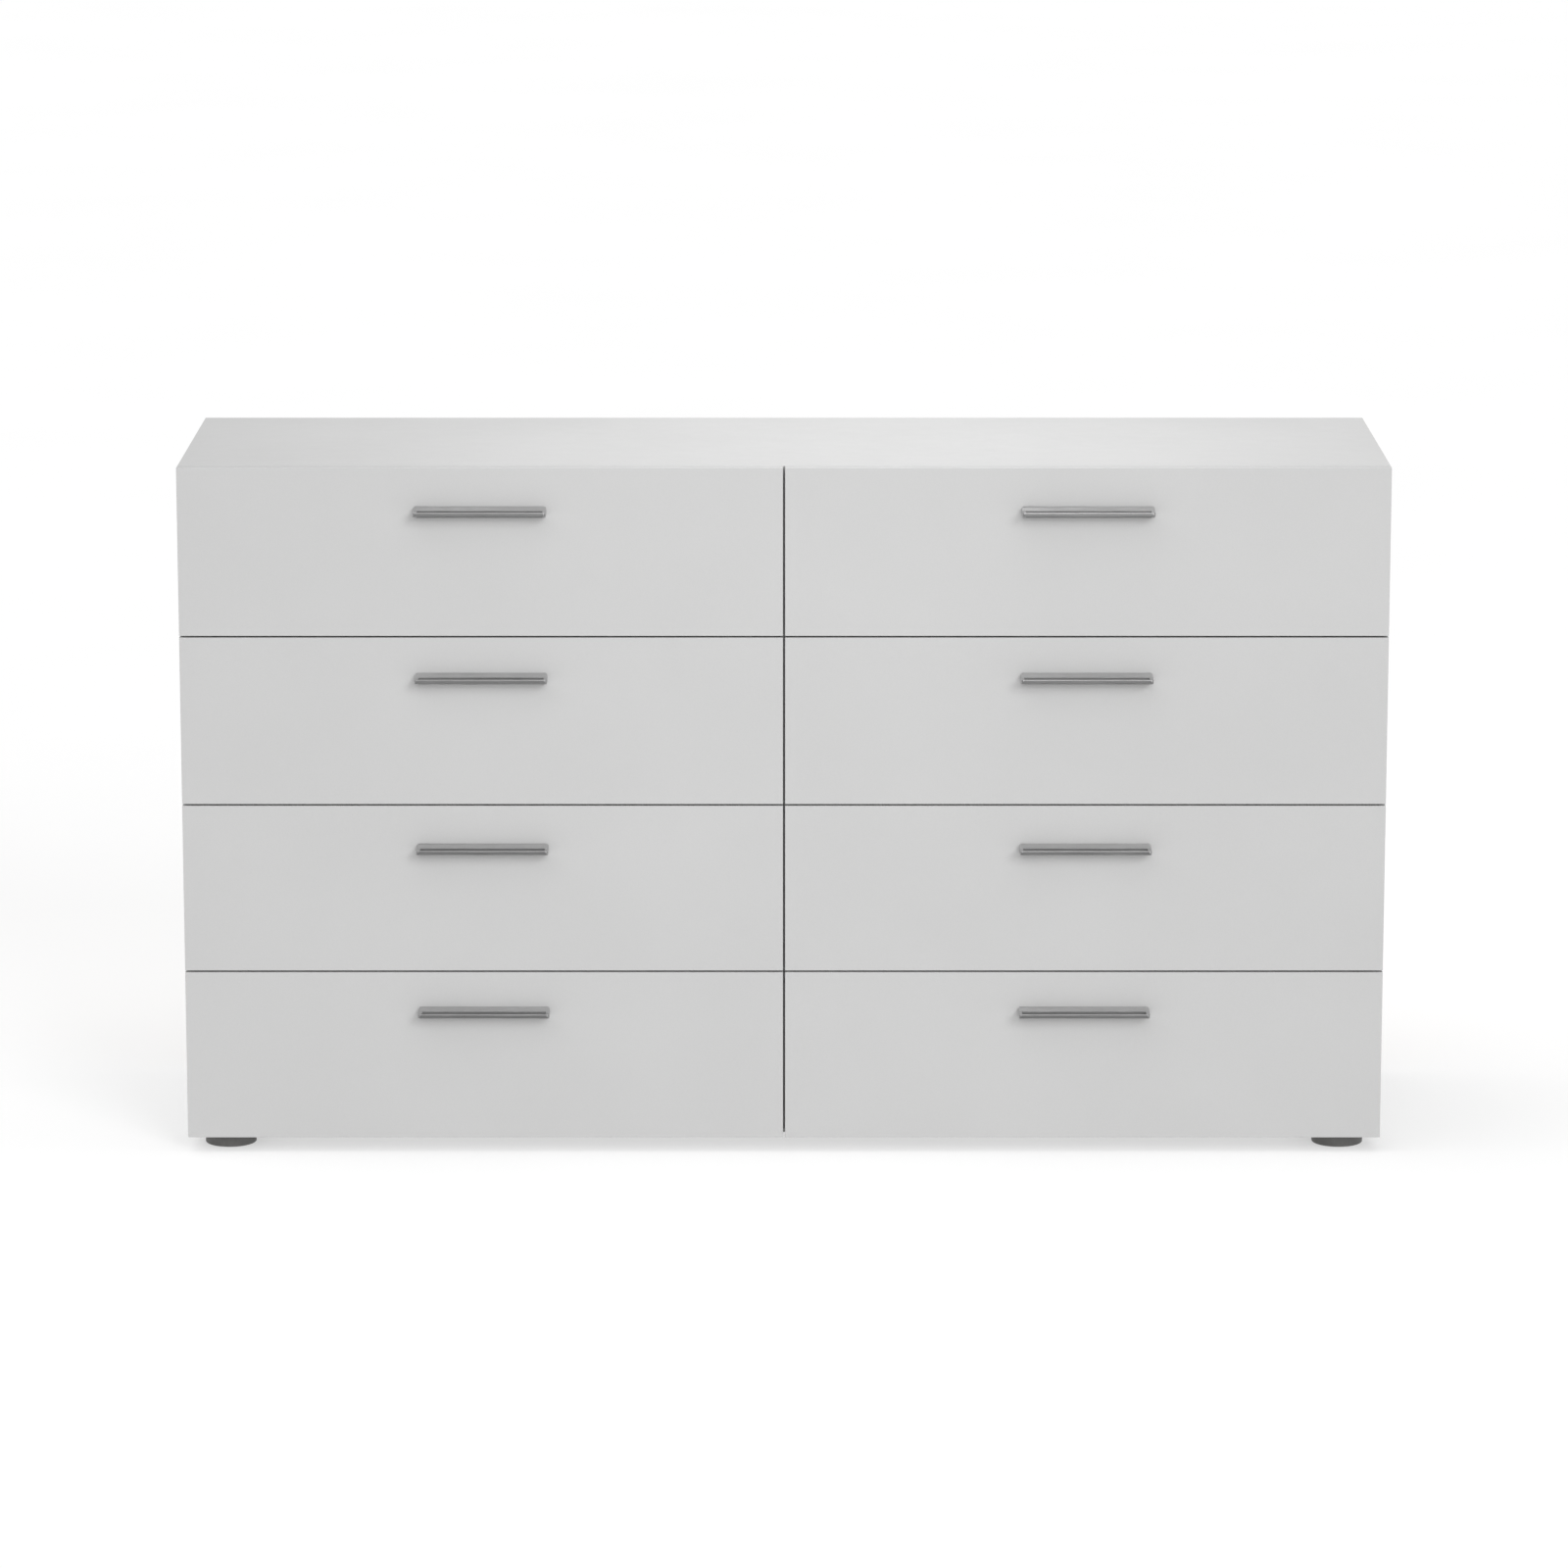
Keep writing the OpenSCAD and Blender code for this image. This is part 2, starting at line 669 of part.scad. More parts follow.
top_panel();
bottom_panel();
side_panel(-1);  // left_side_panel
side_panel(1);  // right_side_panel
centre_divider();
back_panel(-1);  // left_back_panel
back_panel(1);  // right_back_panel
feet();
cabinet_runners();
cam_fittings();
dowels();
cabinet_screws();
for (c = [0, 1], r = [1 : rows]) {
    drawer_front(c, r);
    drawer_sides(c, r);
    drawer_back(c, r);
    drawer_bottom(c, r);
    drawer_handle(c, r);
    drawer_runners(c, r);
}
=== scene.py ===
"""Looks of the double dresser: eight drawers in a pale laminate cabinet, with slim metal bar handles.

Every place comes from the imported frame, in metres. Each CAD node is replaced by finished pieces that
are made from its measures: boards with softened, banded edges, moulded feet, cast handles, pressed
rails, moulded rollers, cross-recessed cam locks and screws, fluted dowels and headed nails.
"""
import json
import math

import bmesh
import bpy
from mathutils import Matrix, Vector


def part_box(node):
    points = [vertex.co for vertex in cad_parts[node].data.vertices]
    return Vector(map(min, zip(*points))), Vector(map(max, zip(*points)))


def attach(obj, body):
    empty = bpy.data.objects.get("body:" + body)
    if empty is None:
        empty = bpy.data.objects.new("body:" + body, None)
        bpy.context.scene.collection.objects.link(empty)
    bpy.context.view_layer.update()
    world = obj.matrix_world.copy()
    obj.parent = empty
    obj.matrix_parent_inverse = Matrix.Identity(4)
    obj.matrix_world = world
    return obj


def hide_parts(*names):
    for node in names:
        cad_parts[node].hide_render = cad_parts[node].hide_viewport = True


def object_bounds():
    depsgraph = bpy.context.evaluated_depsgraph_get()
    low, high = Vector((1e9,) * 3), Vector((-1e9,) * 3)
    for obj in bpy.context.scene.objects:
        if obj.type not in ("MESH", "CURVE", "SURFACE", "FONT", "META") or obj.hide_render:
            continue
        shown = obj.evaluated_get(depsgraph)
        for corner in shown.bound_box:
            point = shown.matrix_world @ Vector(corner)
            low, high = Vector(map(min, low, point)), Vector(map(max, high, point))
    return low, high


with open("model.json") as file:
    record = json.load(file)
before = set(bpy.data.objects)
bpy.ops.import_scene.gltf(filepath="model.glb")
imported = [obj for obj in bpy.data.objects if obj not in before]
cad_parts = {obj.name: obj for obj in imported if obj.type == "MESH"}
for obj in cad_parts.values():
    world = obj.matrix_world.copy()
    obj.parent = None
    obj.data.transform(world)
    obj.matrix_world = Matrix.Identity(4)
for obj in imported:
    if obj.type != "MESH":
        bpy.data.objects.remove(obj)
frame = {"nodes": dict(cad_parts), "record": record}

CAD_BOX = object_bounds()
NODES = frame["nodes"]
BODY_OF = {node: body for body, nodes in frame["record"]["behaviour"]["bodies"].items() for node in nodes}
COLUMNS = ("left", "right")
ROWS = (1, 2, 3, 4)
MM = 0.001
X, Y, Z = 0, 1, 2

# The camera stands in front of the dresser and above it, and looks down at it through a long lens.
CAMERA_PLACE = Vector((0, -7.743, 1.972))
CAMERA_TILT = math.radians(90 - 11.45)
CAMERA_LENS = 152.28

# Lights. A direction points from the dresser towards its light, and a spread is in degrees.
AMBIENT = 0.34
KEY_DIRECTION = (0.44, -0.80, 0.40)
KEY_SPREAD = 26
KEY_STRENGTH = 1.05
OVERHEAD_DIRECTION = (-0.22, -0.1, 1)
OVERHEAD_SPREAD = 90
OVERHEAD_STRENGTH = 1.72
FRONT_LIGHT_SIZE = 0.9
FRONT_LIGHT_SPREAD = 60
FRONT_LIGHT_POWER = 1.0
TOP_LIGHT_SIZE = 0.8
TOP_LIGHT_X = 0.17
TOP_LIGHT_POWER = 4.8
# The floor's own glow makes it white where no shadow falls, while the dresser isn't overexposed.
FLOOR_GLOW = 0.467
FLOOR_RADIUS = 90
# The dark card lies this far in front of the dresser, just above the floor.
CARD_DISTANCE = 4.3
CARD_HEIGHT = 0.002
CARD_HALF_WIDTH = 6
CARD_HALF_DEPTH = 4.2
WHITE = (1, 1, 1, 1)

# Colours of the base materials, before their clouds and specks.
LAMINATE = (0.556, 0.556, 0.555)
DRAWER_FOIL = (0.66, 0.66, 0.65)
HARDBOARD_PAINT = (0.62, 0.612, 0.59)
HARDBOARD_FIBRE = (0.36, 0.23, 0.13)

# Vertices of the CAD mesh closer than this are one, and faces that differ by less than this are one.
WELD = 1e-6
FLAT = math.radians(0.4)
# Edges that turn outward by more than this are rounded.
CORNER = math.radians(50)
# Radii of the rounded edges.
SHOWN_BOARD_EDGE = 0.5 * MM
BOARD_EDGE = 0.6 * MM
HARDBOARD_EDGE = 0.4 * MM
RAIL_EDGE = 0.35 * MM
HANDLE_EDGE = 0.3 * MM
# Faces that meet at less than these angles, in degrees, are shaded as one smooth face.
FOOT_SMOOTH = 25
BOARD_SMOOTH = 32
FITTING_SMOOTH = 40
HANDLE_SMOOTH = 50

# Of all the fittings, only the rails are longer than this along Y.
RAIL_LENGTH = 100 * MM
# Least radius of each kind of fitting, which tells them apart. A roller also turns about X.
ROLLER_RADIUS = 8 * MM
CAM_RADIUS = 7 * MM
ROUND_SCREW_RADIUS = 3.5 * MM
FLAT_SCREW_RADIUS = 3 * MM
BOLT_RADIUS = 2.2 * MM
# A fitting that ends this close to a board's face is flush with it.
FLUSH = 0.3 * MM


def add_object(name, data):
    """A new object of the scene."""
    made = bpy.data.objects.new(name, data)
    bpy.context.scene.collection.objects.link(made)
    return made


# ---------- camera ----------
def make_camera():
    """The scene's only camera, level from side to side."""
    data = bpy.data.cameras.new("camera")
    data.lens = CAMERA_LENS
    data.sensor_width = 36
    data.clip_start, data.clip_end = 0.1, 200
    camera = add_object("camera", data)
    camera.location = CAMERA_PLACE
    camera.rotation_euler = (CAMERA_TILT, 0, 0)
    bpy.context.scene.camera = camera


# ---------- materials ----------
class Nodes:
    """A new material's node tree, with its Principled shader and short calls that add to it."""

    def __init__(self, name, rough, metallic=0.0):
        self.material = bpy.data.materials.new(name)
        self.material.use_nodes = True
        self.tree = self.material.node_tree
        self.shader = self.tree.nodes["Principled BSDF"]
        self.shader.inputs["Roughness"].default_value = rough
        self.shader.inputs["Metallic"].default_value = metallic
        self.place = self.add("ShaderNodeTexCoord").outputs["Object"]

    def add(self, kind, **values):
        """A new node, with its own settings."""
        node = self.tree.nodes.new(kind)
        for key, value in values.items():
            setattr(node, key, value)
        return node

    def link(self, source, target):
        """A link from an output to an input."""
        self.tree.links.new(source, target)

    def stretched(self, scale):
        """The object's coordinates, stretched by a factor on each axis."""
        mapping = self.add("ShaderNodeMapping")
        mapping.inputs["Scale"].default_value = scale
        self.link(self.place, mapping.inputs["Vector"])
        return mapping.outputs["Vector"]

    def noise(self, scale, detail=3.0, stretch=(1, 1, 1)):
        """Noise with `scale` grains to the metre, before its stretch."""
        node = self.add("ShaderNodeTexNoise")
        node.inputs["Scale"].default_value = scale
        node.inputs["Detail"].default_value = detail
        self.link(self.stretched(stretch), node.inputs["Vector"])
        return node.outputs["Fac"]

    def ramp(self, source, low, high, start=0.3, end=0.7):
        """Colours from low to high, as the source goes from start to end."""
        node = self.add("ShaderNodeValToRGB")
        node.color_ramp.elements[0].position = start
        node.color_ramp.elements[1].position = end
        node.color_ramp.elements[0].color = (*low, 1)
        node.color_ramp.elements[1].color = (*high, 1)
        self.link(source, node.inputs["Fac"])
        return node.outputs["Color"]

    def spread(self, source, low, high):
        """The usual span of a noise, 0.3 to 0.7, rescaled to low..high."""
        node = self.add("ShaderNodeMapRange")
        for key, value in (("From Min", 0.3), ("From Max", 0.7), ("To Min", low), ("To Max", high)):
            node.inputs[key].default_value = value
        self.link(source, node.inputs["Value"])
        return node.outputs["Result"]

    def times(self, first, second):
        """One colour multiplied by another."""
        node = self.add("ShaderNodeMix", data_type="RGBA", blend_type="MULTIPLY")
        node.inputs["Factor"].default_value = 1
        self.link(first, node.inputs["A"])
        self.link(second, node.inputs["B"])
        return node.outputs["Result"]

    def colour(self, source):
        """Gives the shader its base colour."""
        self.link(source, self.shader.inputs["Base Color"])

    def roughness(self, source):
        """Gives the shader its roughness."""
        self.link(source, self.shader.inputs["Roughness"])

    def bump(self, source, height, under=None):
        """Relief of the given height in metres, laid over another relief if there is one."""
        node = self.add("ShaderNodeBump")
        node.inputs["Strength"].default_value = 1
        node.inputs["Distance"].default_value = height
        self.link(source, node.inputs["Height"])
        if under:
            self.link(under, node.inputs["Normal"])
        self.link(node.outputs["Normal"], self.shader.inputs["Normal"])
        return node.outputs["Normal"]


def grey(value):
    """A colour without any hue."""
    return (value, value, value)


def tinted(colour, factor):
    """A colour made darker or lighter by a factor."""
    return tuple(min(1.0, part * factor) for part in colour)


def foil_material(name, tone, pebble):
    """Melamine foil on chipboard: soft pebbling, faint waves of the board, slightly uneven low gloss.

    pebble is the number of pebbles to the metre."""
    rough = 0.5
    made = Nodes(name, rough)
    made.shader.inputs["Specular IOR Level"].default_value = 0.28
    cloud = made.ramp(made.noise(5, 2), tinted(tone, 0.985), tinted(tone, 1.012))
    speck = made.ramp(made.noise(900, 2), grey(0.975), grey(1.0), 0.35, 0.6)
    made.colour(made.times(cloud, speck))
    made.roughness(made.spread(made.noise(40, 3), rough - 0.04, rough + 0.05))
    wave = made.bump(made.noise(24, 2), 0.00006)
    made.bump(made.noise(pebble, 2), 0.00003, wave)
    return made.material


def edging_material():
    """Plastic edge band: glossier than the foil, with fine lines along its length."""
    made = Nodes("edge_band", 0.36)
    lines = made.noise(1600, 3, (0.02, 1, 0.02))
    made.colour(made.ramp(lines, tinted(LAMINATE, 0.965), LAMINATE))
    made.roughness(made.spread(made.noise(60), 0.32, 0.42))
    made.bump(made.noise(1400, 2), 0.000012)
    return made.material


def painted_hardboard_material():
    """Smooth lacquered face of hardboard, with the orange peel of a roller."""
    made = Nodes("painted_hardboard", 0.45)
    cloud = made.ramp(made.noise(9, 3), tinted(HARDBOARD_PAINT, 0.975), tinted(HARDBOARD_PAINT, 1.01))
    fleck = made.ramp(made.noise(500, 4), grey(0.95), grey(1.0), 0.32, 0.5)
    made.colour(made.times(cloud, fleck))
    made.roughness(made.spread(made.noise(120), 0.38, 0.52))
    made.bump(made.noise(420, 3), 0.00003)
    return made.material


def fibre_material():
    """Raw brown back of hardboard: matted fibres and the print of the press screen."""
    made = Nodes("hardboard_fibre", 0.85)
    cloud = made.ramp(made.noise(7, 3), tinted(HARDBOARD_FIBRE, 0.94), tinted(HARDBOARD_FIBRE, 1.05))
    fibres = made.ramp(made.noise(1100, 5, (1, 1, 0.25)), grey(0.72), grey(1.0), 0.3, 0.62)
    made.colour(made.times(cloud, fibres))
    made.roughness(made.spread(made.noise(300), 0.78, 0.92))
    mat = made.bump(made.noise(700, 4, (1, 1, 0.4)), 0.00012)
    made.bump(made.noise(1500, 3, (0.4, 1, 1)), 0.00008, mat)
    return made.material


def handle_material():
    """Satin nickel on cast zinc: fine brushing along the bar, soft cloudy gloss."""
    made = Nodes("satin_nickel", 0.34, metallic=1.0)
    brushing = made.noise(2600, 4, (0.012, 1, 1))
    tone = made.ramp(brushing, grey(0.46), (0.535, 0.534, 0.536))
    cloud = made.ramp(made.noise(60, 2), grey(0.955), grey(1.0))
    made.colour(made.times(tone, cloud))
    made.roughness(made.spread(brushing, 0.27, 0.42))
    made.bump(brushing, 0.000012)
    return made.material


def runner_material():
    """White epoxy baked on rolled steel: even gloss, faint orange peel."""
    made = Nodes("runner_epoxy", 0.32)
    made.colour(made.ramp(made.noise(30, 3), (0.74, 0.74, 0.72), (0.79, 0.79, 0.775)))
    made.roughness(made.spread(made.noise(150), 0.26, 0.4))
    made.bump(made.noise(650, 2), 0.00004)
    return made.material


def nylon_material():
    """Off-white moulded nylon, which light enters a little way."""
    made = Nodes("roller_nylon", 0.42)
    made.shader.inputs["Subsurface Weight"].default_value = 0.12
    made.shader.inputs["Subsurface Radius"].default_value = (0.002, 0.002, 0.0018)
    made.colour(made.ramp(made.noise(180, 3), (0.80, 0.80, 0.78), (0.86, 0.86, 0.845)))
    made.roughness(made.spread(made.noise(400), 0.36, 0.5))
    made.bump(made.noise(900, 2), 0.00002)
    return made.material


def zinc_material():
    """Bright zinc plate: cool grey, with small tarnished clouds."""
    made = Nodes("zinc_plate", 0.3, metallic=1.0)
    cloud = made.ramp(made.noise(260, 4), (0.50, 0.51, 0.53), (0.66, 0.67, 0.69))
    made.colour(cloud)
    made.roughness(made.spread(made.noise(500, 3), 0.22, 0.42))
    made.bump(made.noise(1500, 2), 0.00002)
    return made.material


def beech_material():
    """Raw beech: grain along the dowel and short dark rays."""
    made = Nodes("raw_beech", 0.62)
    grain = made.ramp(made.noise(900, 4, (1, 1, 0.08)), (0.55, 0.38, 0.22), (0.68, 0.51, 0.33))
    rays = made.ramp(made.noise(1800, 2, (1, 1, 0.2)), grey(0.8), grey(1.0), 0.25, 0.4)
    made.colour(made.times(grain, rays))
    made.roughness(made.spread(made.noise(700), 0.55, 0.7))
    made.bump(made.noise(1600, 3, (1, 1, 0.1)), 0.00006)
    return made.material


def foot_material():
    """Dark grey moulded polypropylene: fine spark texture, scuffed a little lighter in places."""
    made = Nodes("foot_plastic", 0.48)
    tone = made.ramp(made.noise(70, 4), (0.118, 0.117, 0.113), (0.142, 0.141, 0.136))
    speck = made.ramp(made.noise(1500, 2), grey(0.88), grey(1.0), 0.35, 0.6)
    made.colour(made.times(tone, speck))
    made.roughness(made.spread(made.noise(200, 3), 0.4, 0.58))
    made.bump(made.noise(1300, 3), 0.00005)
    return made.material


# ---------- mesh helpers ----------
def welded(node):
    """A copy of the node's mesh, with the vertices that lie on each other merged."""
    mesh = bmesh.new()
    mesh.from_mesh(NODES[node].data)
    bmesh.ops.remove_doubles(mesh, verts=mesh.verts, dist=WELD)
    return mesh


def copy_of(node):
    """A welded copy of the node's mesh, with its flat faces made whole again."""
    mesh = welded(node)
    bmesh.ops.dissolve_limit(mesh, angle_limit=FLAT, verts=mesh.verts, edges=mesh.edges)
    return mesh


def soften(mesh, radius, shortest=2.5 * MM, segments=3):
    """Rounds the outward edges longer than `shortest`. The short facets round a bore stay as they are."""
    edges = [edge for edge in mesh.edges if edge.is_manifold and edge.calc_length() > shortest]
    edges = [edge for edge in edges if edge.calc_face_angle_signed() > CORNER]
    bmesh.ops.bevel(
        mesh, geom=edges, offset=radius, offset_type="OFFSET", segments=segments, profile=0.5,
        affect="EDGES", clamp_overlap=False,
    )


def split_islands(mesh):
    """Lists of the faces of each separate solid."""
    left = set(mesh.faces)
    islands = []
    while left:
        island, front = set(), [next(iter(left))]
        while front:
            face = front.pop()
            if face in island:
                continue
            island.add(face)
            front.extend(f for edge in face.edges for f in edge.link_faces if f not in island)
        left -= island
        islands.append(sorted(island, key=lambda f: f.index))
    return sorted(islands, key=lambda faces: faces[0].index)


class Solid:
    """One separate solid of a CAD node, taken from its faces."""

    def __init__(self, faces):
        self.points = [vert.co.copy() for vert in {vert for face in faces for vert in face.verts}]
        self.low = Vector([min(p[i] for p in self.points) for i in range(3)])
        self.high = Vector([max(p[i] for p in self.points) for i in range(3)])
        self.size = self.high - self.low
        self.middle = (self.low + self.high) / 2

    def axis(self):
        """The axis that a round solid runs along: across it, its two sizes are alike."""
        return min(range(3), key=lambda i: abs(self.size[(i + 1) % 3] - self.size[(i + 2) % 3]))

    def thickness_at(self, end):
        """Greatest distance from the axis at the low (-1) or high (1) end."""
        axis = self.axis()
        limit = self.low[axis] if end < 0 else self.high[axis]
        there = [p - self.middle for p in self.points if abs(p[axis] - limit) < 0.05 * MM]
        return max(math.hypot(p[(axis + 1) % 3], p[(axis + 2) % 3]) for p in there)

    def head(self):
        """-1 or 1: the end at which a fastener has its head."""
        return -1 if self.thickness_at(-1) > self.thickness_at(1) else 1

    def place(self, end):
        """Matrix that puts a part's z = 0 at one end of the solid, with +Z pointing out of it."""
        axis = self.axis()
        point = self.middle.copy()
        point[axis] = self.low[axis] if end < 0 else self.high[axis]
        outward = [0, 0, 0]
        outward[axis] = end
        return Matrix.Translation(point) @ facing(outward)


def solids(node):
    """The node's separate solids, in the order of its faces."""
    mesh = welded(node)
    mesh.faces.index_update()
    found = [Solid(faces) for faces in split_islands(mesh)]
    mesh.free()
    return found


def lathe(profile, steps=48, radius_at=None):
    """A surface of revolution about +Z through (radius, height) points.

    It closes on the axis where the radius is 0, and on itself where the last point is the first.
    radius_at(angle, radius) may vary the radius round the axis, for flutes."""
    mesh = bmesh.new()
    rings = []
    for radius, height in profile:
        if radius == 0:
            rings.append([mesh.verts.new((0, 0, height))])
            continue
        ring = []
        for step in range(steps):
            angle = 2 * math.pi * step / steps
            r = radius_at(angle, radius) if radius_at else radius
            ring.append(mesh.verts.new((r * math.cos(angle), r * math.sin(angle), height)))
        rings.append(ring)
    for low, high in zip(rings, rings[1:]):
        for step in range(steps):
            after = (step + 1) % steps
            # A ring on the axis is one vertex, so there the four corners come down to three.
            below = [low[step % len(low)], low[after % len(low)]]
            above = [high[after % len(high)], high[step % len(high)]]
            corners = list(dict.fromkeys(below + above))
            if len(corners) > 2:
                mesh.faces.new(corners)
    if profile[0] == profile[-1]:
        bmesh.ops.remove_doubles(mesh, verts=mesh.verts, dist=1e-7)
    bmesh.ops.recalc_face_normals(mesh, faces=mesh.faces)
    return mesh


def cross_headed(rim, body, cross, arm, depth, steps=32):
    """A round part about -Z whose flat head, at z = 0, has a cross recess.

    rim is the flat's radius, body the (radius, z) points from there down to the tip on the axis,
    cross the recess's reach, arm the width of its arms."""
    mesh = lathe([(rim, 0)] + body, steps)
    half = arm / 2
    plus = []
    for quarter in range(4):
        turn = Matrix.Rotation(quarter * math.pi / 2, 3, "Z")
        for x, y in ((half, half), (half, cross), (-half, cross)):
            plus.append(turn @ Vector((x, y, 0)))
    top = [mesh.verts.new(p) for p in plus]
    low = [mesh.verts.new((p.x * 0.7, p.y * 0.7, -depth)) for p in plus]
    mesh.verts.ensure_lookup_table()
    count = len(plus)
    for i in range(count):
        after = (i + 1) % count
        mesh.faces.new([top[i], top[after], low[after], low[i]])
    mesh.faces.new(low)
    outer = [e for e in mesh.edges if e.is_boundary and all(abs(v.co.z) < 1e-7 for v in e.verts)]
    bmesh.ops.triangle_fill(mesh, edges=outer, use_beauty=True)
    bmesh.ops.recalc_face_normals(mesh, faces=mesh.faces)
    return mesh


def facing(direction):
    """Rotation that turns +Z towards a direction."""
    return Vector((0, 0, 1)).rotation_difference(Vector(direction)).to_matrix().to_4x4()


def gather(parts):
    """One mesh made of (mesh, matrix) pairs. It uses the meshes up."""
    whole = bmesh.new()
    for part, matrix in parts:
        data = bpy.data.meshes.new("part")
        part.to_mesh(data)
        part.free()
        data.transform(matrix)
        whole.from_mesh(data)
        bpy.data.meshes.remove(data)
    return whole


def make_piece(name, mesh, node, materials, pick=None, smooth=FITTING_SMOOTH):
    """Turns a mesh into a piece that rides on the node's body and replaces the node.

    pick(face) gives the number of a face's material."""
    bmesh.ops.recalc_face_normals(mesh, faces=mesh.faces)
    if pick:
        for face in mesh.faces:
            face.material_index = pick(face)
    data = bpy.data.meshes.new(name)
    mesh.to_mesh(data)
    mesh.free()
    for material in materials:
        data.materials.append(material)
    data.shade_smooth()
    data.set_sharp_from_angle(angle=math.radians(smooth))
    piece = add_object(name, data)
    normals = piece.modifiers.new("flat_faces", "WEIGHTED_NORMAL")
    normals.keep_sharp = True
    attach(piece, BODY_OF[node])
    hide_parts(node)


# ---------- boards ----------
def board(name, node, radius, thin_axis, materials):
    """A foil-covered board: its broad faces get the first material, its narrow ones the second."""
    def broad_or_narrow(face):
        return 0 if abs(face.normal[thin_axis]) > 0.7 else 1

    mesh = copy_of(node)
    soften(mesh, radius)
    make_piece(name, mesh, node, materials, broad_or_narrow, BOARD_SMOOTH)


def hardboard(name, node, thin_axis, painted_side):
    """Hardboard, painted on the broad face that looks to painted_side (-1 or 1), and raw elsewhere."""
    def painted_or_raw(face):
        return 0 if face.normal[thin_axis] * painted_side > 0.7 else 1

    mesh = copy_of(node)
    soften(mesh, HARDBOARD_EDGE, segments=2)
    make_piece(name, mesh, node, [PAINTED, FIBRE], painted_or_raw, BOARD_SMOOTH)


# ---------- cabinet ----------
def make_cabinet_boards():
    """The cabinet's five boards and its two backs, which are painted inside."""
    foil = [FOIL, EDGING]
    board("top_board", "top_panel", SHOWN_BOARD_EDGE, Z, foil)
    board("bottom_board", "bottom_panel", BOARD_EDGE, Z, foil)
    board("left_side_board", "left_side_panel", BOARD_EDGE, X, foil)
    board("right_side_board", "right_side_panel", BOARD_EDGE, X, foil)
    board("divider_board", "centre_divider", BOARD_EDGE, X, foil)
    hardboard("left_back_board", "left_back_panel", Y, -1)
    hardboard("right_back_board", "right_back_panel", Y, -1)


def make_feet():
    """Moulded feet: rounded lower rim, a fine groove under the top and a recess for the screw."""
    bevel, groove = 0.4 * MM, 0.5 * MM
    rim, rim_steps = 1.5 * MM, 6
    bore, recess = 2.2 * MM, 5 * MM
    for number, solid in enumerate(solids("feet"), 1):
        radius, height = solid.size.x / 2, solid.size.z
        seat = height - 8 * MM
        # The flat top, and the groove below it.
        profile = [(bore, height), (radius - bevel, height), (radius, height - bevel)]
        profile += [(radius, height - 2.2 * MM), (radius - groove, height - 2.6 * MM)]
        profile += [(radius - groove, height - 3.2 * MM), (radius, height - 3.6 * MM)]
        for step in range(rim_steps + 1):
            angle = math.pi / 2 * step / rim_steps
            profile.append((radius - rim + rim * math.cos(angle), rim - rim * math.sin(angle)))
        # The underside: a shallow hollow, a ring round the recess, the screw's seat and its bore.
        profile += [(radius - 6 * MM, 0), (radius - 7 * MM, 1 * MM), (7 * MM, 1 * MM), (6.6 * MM, 0)]
        profile += [(5.4 * MM, 0), (recess, 0.4 * MM), (recess, seat), (bore, seat), (bore, height)]
        mesh = lathe(profile, 96)
        mesh.transform(Matrix.Translation((solid.middle.x, solid.middle.y, 0)))
        make_piece(f"foot_{number}", mesh, "feet", [FOOT], smooth=FOOT_SMOOTH)


# ---------- runners ----------
def roller_mesh(radius, width):
    """Nylon roller down from z = 0: rounded tyre, dished faces and a raised hub."""
    bore, hub, dish = 2.6 * MM, 4.8 * MM, 0.9 * MM
    face = [(bore, 0), (4.4 * MM, 0), (hub, 0.4 * MM), (hub, dish)]
    face += [(radius - 2.4 * MM, dish), (radius - 1.8 * MM, 0.3 * MM), (radius - 0.9 * MM, 0)]
    face += [(radius - 0.3 * MM, 0.3 * MM), (radius, 1 * MM)]
    points = [(r, -z) for r, z in face] + [(r, z - width) for r, z in reversed(face)]
    return lathe(points + points[:1])


def rivet_mesh():
    """Rounded rivet head on a roller's face at z = 0."""
    shank, sunk = 2.4 * MM, 0.5 * MM
    dome = [(0, 0.6 * MM), (1.6 * MM, 0.5 * MM), (2.9 * MM, 0.2 * MM), (3.3 * MM, 0), (shank, 0)]
    return lathe(dome + [(shank, -sunk), (0, -sunk)], 24)


def is_roller(solid):
    """True for a thin disc that turns about X."""
    thin = solid.size.x < 8 * MM
    tall = solid.size.y > 15 * MM and solid.size.z > 15 * MM
    return thin and tall and abs(solid.size.y - solid.size.z) < 0.3 * MM


def make_runners(name, node, free_side):
    """The node's pressed rails with softened edges, its rollers, and the rollers' rivet heads.

    free_side(solid) is the end, along X, at which a roller's face is open to view."""
    mesh = copy_of(node)
    mesh.faces.index_update()
    small = [f for faces in split_islands(mesh) if Solid(faces).size.y < RAIL_LENGTH for f in faces]
    bmesh.ops.delete(mesh, geom=small, context="FACES")
    soften(mesh, RAIL_EDGE, segments=2)
    make_piece(name + "_rails", mesh, node, [EPOXY])
    rollers = []
    rivets = []
    for wheel in filter(is_roller, solids(node)):
        place = wheel.place(free_side(wheel))
        rollers.append((roller_mesh(wheel.size.z / 2, wheel.size.x), place))
        rivets.append((rivet_mesh(), place))
    make_piece(name + "_rollers", gather(rollers), node, [NYLON])
    make_piece(name + "_rivets", gather(rivets), node, [ZINC])


def bay_middle(column):
    """The X of the middle of a column of drawers."""
    low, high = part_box(f"drawer_{column}_1_runners")
    return (low.x + high.x) / 2


